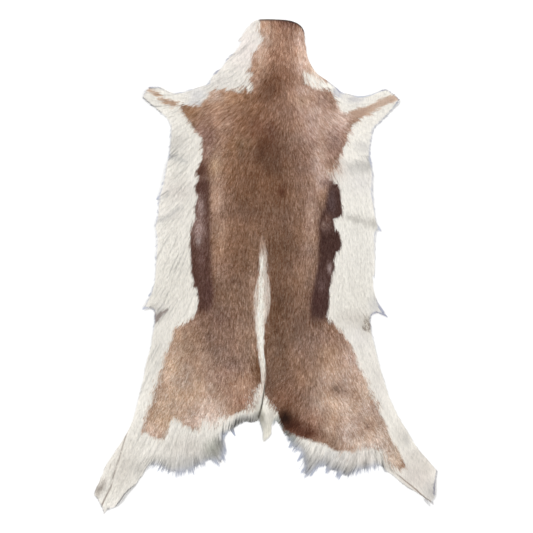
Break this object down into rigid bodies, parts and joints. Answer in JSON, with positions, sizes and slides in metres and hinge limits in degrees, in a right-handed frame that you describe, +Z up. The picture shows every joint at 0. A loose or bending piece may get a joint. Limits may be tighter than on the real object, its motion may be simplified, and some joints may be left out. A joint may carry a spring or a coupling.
{
  "type": "springbok hide rug",
  "caption": "Whole springbok hide laid flat as a rug, hair side up, with cut neck, forelegs, hind legs, white flanks and a fringed rump edge",
  "frame": {"origin": "under the middle of the outline, on the plane that the skin lies on", "axes": "+Y along the back towards the neck, +X to the right seen from above with the neck away, +Z up out of the hair side"},
  "size_m": [0.7274, 1.05, 0.0088],
  "materials": {
    "hide_fur": "hair-on hide: short brown hair on the back, darker side stripes, longer white hair on flanks, rump and legs, with a soft sheen"
  },
  "bodies": {
    "root": {"hide": "hide_fur"}
  },
  "joints": []
}
